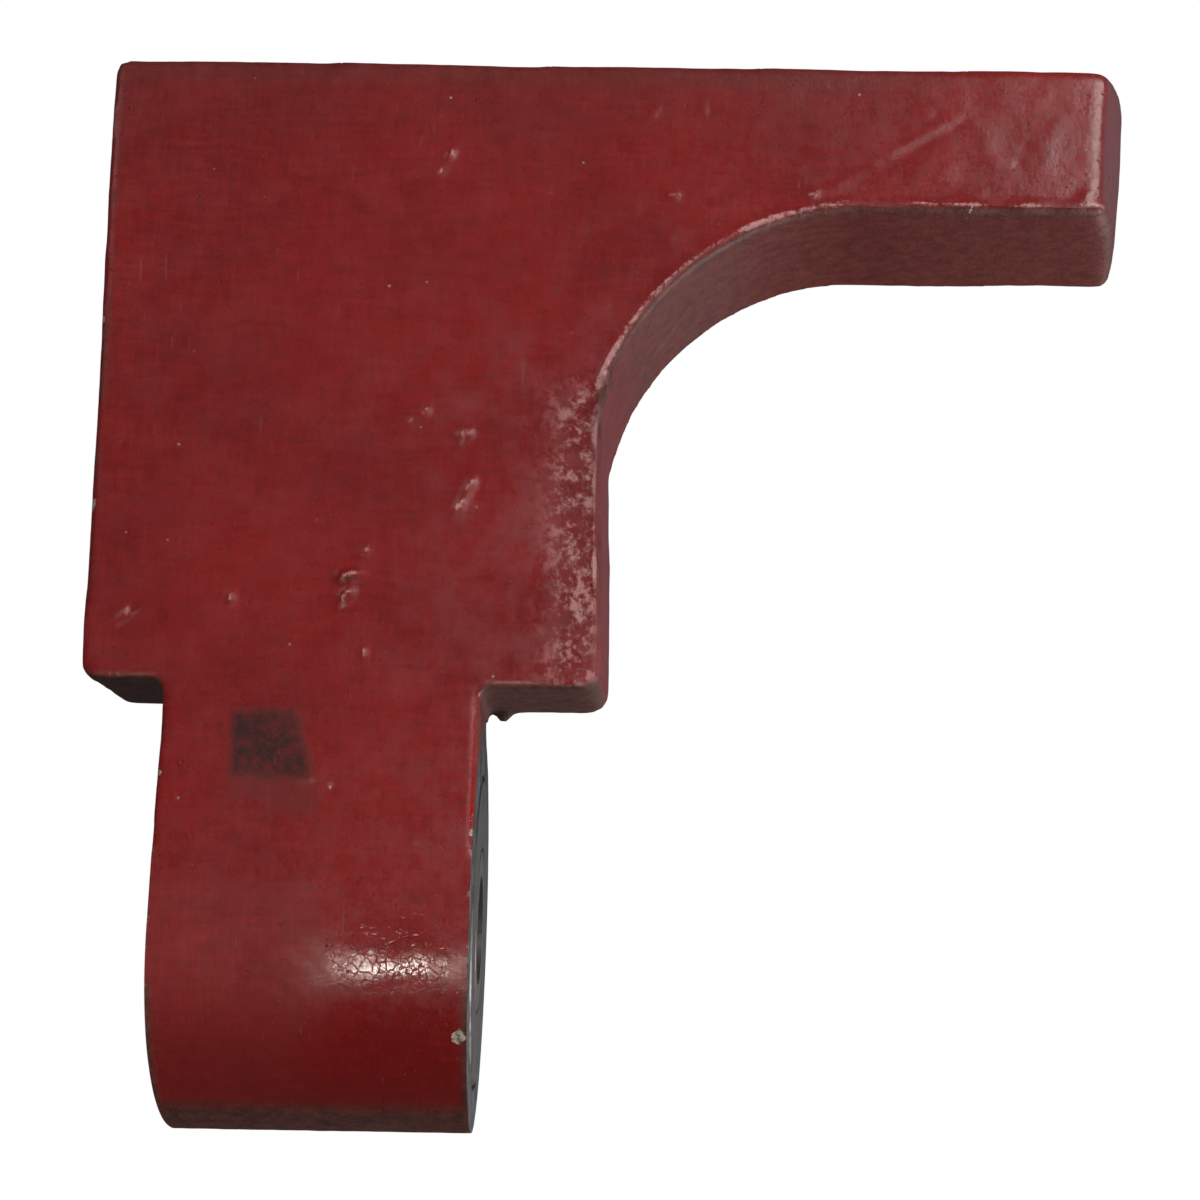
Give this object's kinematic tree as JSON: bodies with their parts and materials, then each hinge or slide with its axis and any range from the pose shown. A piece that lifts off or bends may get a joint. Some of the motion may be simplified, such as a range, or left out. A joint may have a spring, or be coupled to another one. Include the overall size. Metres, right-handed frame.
{
  "type": "shutter dog holdback",
  "caption": "Swinging catch: thick head, side arm over a quarter-round throat, and a round knuckle that turns on a bushed sleeve to hold a shutter back.",
  "frame": {"origin": "centre of the pivot bore, midway along the knuckle", "axes": "+X along the pivot towards the arm's tip, +Z from the knuckle up to the head, +Y from the flush catch face towards the back"},
  "size_m": [0.1011, 0.0376, 0.0993],
  "materials": {
    "red_enamel": "dark red gloss enamel over a rough casting, bare iron on the knuckle's faced sides",
    "bronze": "turned bearing bronze",
    "sleeve_steel": "ground steel",
    "washer_steel": "turned steel, worn"
  },
  "bodies": {
    "pivot": {"pivot_sleeve": "sleeve_steel", "washer_left": "washer_steel", "washer_right": "washer_steel"},
    "dog": {"dog_casting": "red_enamel", "bush_left": "bronze", "bush_right": "bronze"}
  },
  "joints": [
    {"name": "dog_swing", "type": "hinge", "parent": "pivot", "child": "dog", "pos_m": [0, 0, 0], "axis": [-1, 0, 0], "range_deg": [0, 170]}
  ]
}
